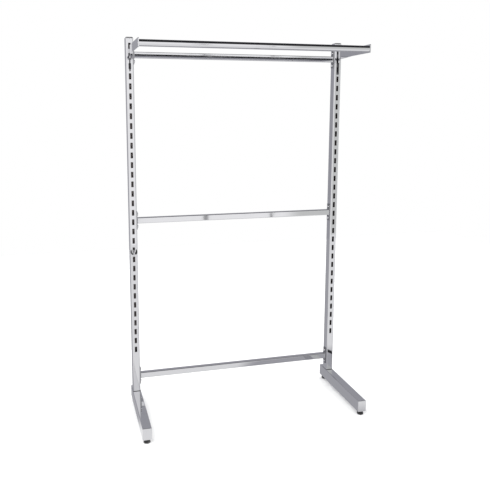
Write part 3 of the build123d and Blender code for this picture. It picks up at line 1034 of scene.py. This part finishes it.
def foot_pad_shell(radius, height):
    """The pad: a fluted skirt that slopes in to a rounded shoulder and a flat top."""
    fluted = lambda size: lambda turn: size - flute_depth * (1 + math.cos(flute_count * turn)) / 2
    top_radius = radius - pad_taper
    profile = [
        (radius - pad_foot_inset, 0.0), (fluted(radius), pad_foot_rise),
        (fluted(top_radius + pad_shoulder), height - pad_edge),
    ]
    for step in range(1, pad_edge_steps + 1):
        turn = math.pi / 2 * step / pad_edge_steps
        inset = pad_edge * (1 - math.cos(turn))
        profile.append((top_radius - inset, height - pad_edge * (1 - math.sin(turn))))
    profile += [
        (radius * well_mouth, height), (radius * well_floor, height - well_depth),
        (well_middle, height - well_depth),
    ]
    return turned(profile, flute_count * facets_per_flute)


def stud_shells(low, high, pad_top, collar_top):
    """The stud: a chamfered six-sided collar, and a right-hand thread above and below it."""
    corner = collar_flats / 2 / math.cos(math.pi / 6)
    hexagon = lambda turn: min(hexagon_radius(turn, collar_flats), corner)
    face = collar_flats / 2 * collar_face
    collar = turned([
        (face, pad_top), (hexagon, pad_top + collar_chamfer), (hexagon, collar_top - collar_chamfer),
        (face, collar_top),
    ], collar_facets)
    rows = int((high.z - low.z) / thread_pitch * thread_steps)
    rings = []
    for row in range(rows + 1):
        z = low.z + (high.z - low.z) * row / rows
        lead = min(1.0, (high.z - z) / thread_lead + thread_start)
        circle = []
        for index, turn in enumerate(full_turn(thread_facets)):
            phase = (z / thread_pitch - index / thread_facets) % 1.0
            crest = 1 - abs(2 * phase - 1)
            reach = thread_radius - thread_depth * (1 - crest * lead)
            circle.append((reach * math.cos(turn), reach * math.sin(turn), z))
        rings.append(circle)
    return [collar, skin(rings, capped=True)]


def shifted(shells, at):
    """Moves shells across the floor to a foot's place."""
    return [([(x + at.x, y + at.y, z) for x, y, z in points], faces) for points, faces in shells]


for side in sides:
    for end in ("front", "rear"):
        key = f"{end}_{side}"
        pad, stud = f"foot_pad_{key}", f"foot_stud_{key}"
        low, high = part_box(pad)
        shells = shifted([foot_pad_shell((high.x - low.x) / 2, high.z)], centre(pad))
        fit_shells(f"moulded_{pad}", shells, foot_plastic, pad, pad_sharp)
        collar_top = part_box(f"foot_insert_{key}")[0].z
        shells = shifted(stud_shells(*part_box(stud), high.z, collar_top), centre(pad))
        fit_shells(f"threaded_{stud}", shells, zinc_steel, stud, stud_sharp)

# A thin black ring round each upright's foot, where it stands on its leg, is painted shade: a dark
# line at the joint.
joint_shade_ring_proud = 0.0004
joint_shade_ring_height = 0.0024
joint_shade_ring_wall = 0.0012
joint_shade_ring_edge = 0.0003
for side in sides:
    low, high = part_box(f"upright_{side}")
    spread = Vector((joint_shade_ring_proud, joint_shade_ring_proud, 0.0))
    ring_low = low - spread
    ring_high = Vector((high.x, high.y, low.z + joint_shade_ring_height)) + spread
    band = box_tube(ring_low, ring_high, "Z", upright_corner, joint_shade_ring_wall, joint_shade_ring_edge)
    seat = make_mesh(f"joint_shade_ring_{side}", [band])
    seat.materials.append(foot_plastic)
    joint_shade_ring = set_in_scene(f"upright_seat_ring_{side}", seat)
    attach(joint_shade_ring, "frame")

# Pieces that stay inside keep their CAD shapes: inserts, plugs and spigots, zinc-plated or bare.
inner_finishes = {"zinc_steel": zinc_steel, "bare_steel": bare_steel}
for node, piece in frame["nodes"].items():
    if finish_of[node] in inner_finishes and not node.startswith("foot_stud"):
        piece.data.materials.clear()
        piece.data.materials.append(inner_finishes[finish_of[node]])

# ---- Studio ----
# The camera sees a plain white room. Polished metal shows what is round it, so reflections see a
# room with bright fabric in front, pale walls beside, a grey wall behind and a dark ceiling.
camera_place = (-0.9186, -3.0016, 1.5920)
camera_yaw = math.radians(14.54)
camera_pitch = math.radians(-8.67)
camera_lens = 44.86
camera_sensor = 36.0
camera_shift = (0.0500, -0.0816)


def set_up(name, data, place, aim):
    """Puts a camera or light in the scene at a place, looking along a direction."""
    thing = set_in_scene(name, data)
    thing.location = place
    thing.rotation_mode = "QUATERNION"
    thing.rotation_quaternion = Vector(aim).to_track_quat("-Z", "Y")
    return thing


camera = bpy.data.cameras.new("camera")
camera.sensor_width = camera_sensor
camera.lens = camera_lens
camera.shift_x, camera.shift_y = camera_shift
level_reach = math.cos(camera_pitch)
camera_aim = (
    math.sin(camera_yaw) * level_reach, math.cos(camera_yaw) * level_reach, math.sin(camera_pitch)
)
bpy.context.scene.camera = set_up("camera", camera, camera_place, camera_aim)

# The fabric hangs in two panels with two sewn seams. Places on it are X over distance in front; the
# other limits are parts of a ray's direction.
fabric_left = (1.06, 1.06, 1.07, 1.0)
fabric_right = (0.70, 0.71, 0.70, 1.0)
fabric_edge = (0.37, 0.41)
fabric_nearest = 0.05
fabric_seams = ((0.2336, 0.0040), (0.3515, 0.0025))
seam_softness = (0.4, 1.6)
seam_shade = (0.34, 0.34, 0.35, 1.0)
wall_beside = (0.78, 0.78, 0.79, 1.0)
wall_behind = (0.38, 0.38, 0.415, 1.0)
ceiling = (0.03, 0.03, 0.033, 1.0)
front_to_side = (-0.80, -0.40)
side_to_back = (0.05, 0.35)
front_to_rear = (-0.05, 0.05)
ceiling_in_front = (0.47, 0.53)
ceiling_behind = (0.60, 0.72)
soft_light = (1.4, 1.4, 1.4, 1.0)
plain_white = (1.0, 1.0, 1.0, 1.0)


def blend_colour(tree, factor, first, second):
    """A colour mix whose factor is a (node, output) pair; colours are plain or pairs."""
    node = tree.nodes.new("ShaderNodeMix")
    node.data_type = "RGBA"
    join(tree, *factor, node, "Factor")
    for entry, value in (("A", first), ("B", second)):
        if isinstance(value[0], bpy.types.Node):
            join(tree, *value, node, entry)
        else:
            node.inputs[entry].default_value = value
    return node, "Result"


def ramp(tree, source, limits):
    """A smooth step from nought to one of a (node, output) pair."""
    node = tree.nodes.new("ShaderNodeMapRange")
    node.interpolation_type = "SMOOTHSTEP"
    node.inputs["From Min"].default_value, node.inputs["From Max"].default_value = limits
    join(tree, *source, node, "Value")
    return node, "Result"


def place_parts(tree, kind):
    """The X, Y and Z of the direction or place that is shaded."""
    parts = tree.nodes.new("ShaderNodeSeparateXYZ")
    join(tree, tree.nodes.new("ShaderNodeTexCoord"), kind, parts, 0)
    return parts


world = bpy.data.worlds.new("studio")
bpy.context.scene.world = world
world.use_nodes = True
tree = world.node_tree
parts = place_parts(tree, "Generated")
ahead = maths(tree, "MULTIPLY", (parts, "Y"), -1.0)
ahead = maths(tree, "MAXIMUM", (ahead, 0), fabric_nearest)
across = maths(tree, "DIVIDE", (parts, "X"), (ahead, 0))
front = blend_colour(tree, ramp(tree, (across, 0), fabric_edge), fabric_left, fabric_right)
for seam_middle, seam_half in fabric_seams:
    offset = maths(tree, "SUBTRACT", (across, 0), seam_middle)
    offset = maths(tree, "ABSOLUTE", (offset, 0), 0.0)
    clear = ramp(tree, (offset, 0), [seam_half * part for part in seam_softness])
    front = blend_colour(tree, clear, seam_shade, front)
walls = blend_colour(tree, ramp(tree, (parts, "Y"), front_to_side), front, wall_beside)
walls = blend_colour(tree, ramp(tree, (parts, "Y"), side_to_back), walls, wall_behind)
above_front = ramp(tree, (parts, "Z"), ceiling_in_front)
above_behind = ramp(tree, (parts, "Z"), ceiling_behind)
above = blend_colour(tree, ramp(tree, (parts, "Y"), front_to_rear), above_front, above_behind)
room = blend_colour(tree, above, walls, ceiling)
path_kind = tree.nodes.new("ShaderNodeLightPath")
room = blend_colour(tree, (path_kind, "Is Diffuse Ray"), room, soft_light)
room = blend_colour(tree, (path_kind, "Is Camera Ray"), room, plain_white)
join(tree, *room, tree.nodes["Background"], "Color")

# The floor is matt and near white. Reflections see it as a glow in painted tones: bright in front
# and grey behind as painted shade, the grey coming further forward on the right. A dark patch of
# painted shade lies slanting in front of the right leg and shows as a dark patch low in that
# upright's face. Places are in metres on the floor.
floor_reach = 4.0
floor_white = (0.95, 0.95, 0.95, 1.0)
floor_roughness = 0.8
floor_glow_in_front = (0.92, 0.92, 0.93, 1.0)
floor_glow_behind = (0.43, 0.43, 0.46, 1.0)
floor_rightward = (0.0, 0.3)
floor_advance = 0.25
floor_rearward = (-0.15, 0.05)
shade_patch_slant = -1.65
shade_patch_front = (-1.585, -1.578)
shade_patch_back = (-1.502, -1.495)
shade_patch_left = (0.66, 0.68)

corners = [(x * floor_reach, y * floor_reach, 0) for x, y in ((-1, -1), (1, -1), (1, 1), (-1, 1))]
floor_mesh = bpy.data.meshes.new("floor")
floor_mesh.from_pydata(corners, [], [(0, 1, 2, 3)])
floor = set_in_scene("floor", floor_mesh)
floor_paint, tree, shader = new_material("pale_floor")
shader.inputs["Base Color"].default_value = floor_white
shader.inputs["Roughness"].default_value = floor_roughness
parts = place_parts(tree, "Object")
rightward = ramp(tree, (parts, "X"), floor_rightward)
advance = maths(tree, "MULTIPLY", rightward, floor_advance)
advance = maths(tree, "ADD", (advance, 0), (parts, "Y"))
rearward = ramp(tree, (advance, 0), floor_rearward)
tones = blend_colour(tree, rearward, floor_glow_in_front, floor_glow_behind)
# Painted shade: a slanting dark patch, in the ceiling's tone, laid into the floor's glow for
# reflections.
slant = maths(tree, "MULTIPLY", (parts, "X"), shade_patch_slant)
slant = maths(tree, "ADD", (slant, 0), (parts, "Y"))
shade_patch = maths(tree, "SUBTRACT", ramp(tree, (slant, 0), shade_patch_front), ramp(tree, (slant, 0), shade_patch_back))
shade_patch = maths(tree, "MULTIPLY", (shade_patch, 0), ramp(tree, (parts, "X"), shade_patch_left))
tones = blend_colour(tree, (shade_patch, 0), tones, ceiling)
# Glossy rays see this painted glow instead of the lit floor: painted light, with its painted shade.
glow = tree.nodes.new("ShaderNodeEmission")
join(tree, *tones, glow, "Color")
path_kind = tree.nodes.new("ShaderNodeLightPath")
either = tree.nodes.new("ShaderNodeMixShader")
join(tree, path_kind, "Is Glossy Ray", either, 0)
join(tree, shader, "BSDF", either, 1)
join(tree, glow, "Emission", either, 2)
join(tree, either, 0, tree.nodes["Material Output"], "Surface")
floor_mesh.materials.append(floor_paint)

# A soft box overhead casts the faint shadows. The metal doesn't show it.
lamp_size = (2.5, 2.0)
lamp_power = 60
lamp_place = Vector((-2.0, -2.2, 3.6))
lamp_target = Vector((0.0, 0.0, 1.0))

lamp = bpy.data.lights.new("soft_box", "AREA")
lamp.shape = "RECTANGLE"
lamp.size, lamp.size_y = lamp_size
lamp.energy = lamp_power
set_up("soft_box", lamp, lamp_place, lamp_target - lamp_place).visible_glossy = False

bpy.context.scene.view_settings.view_transform = "Standard"
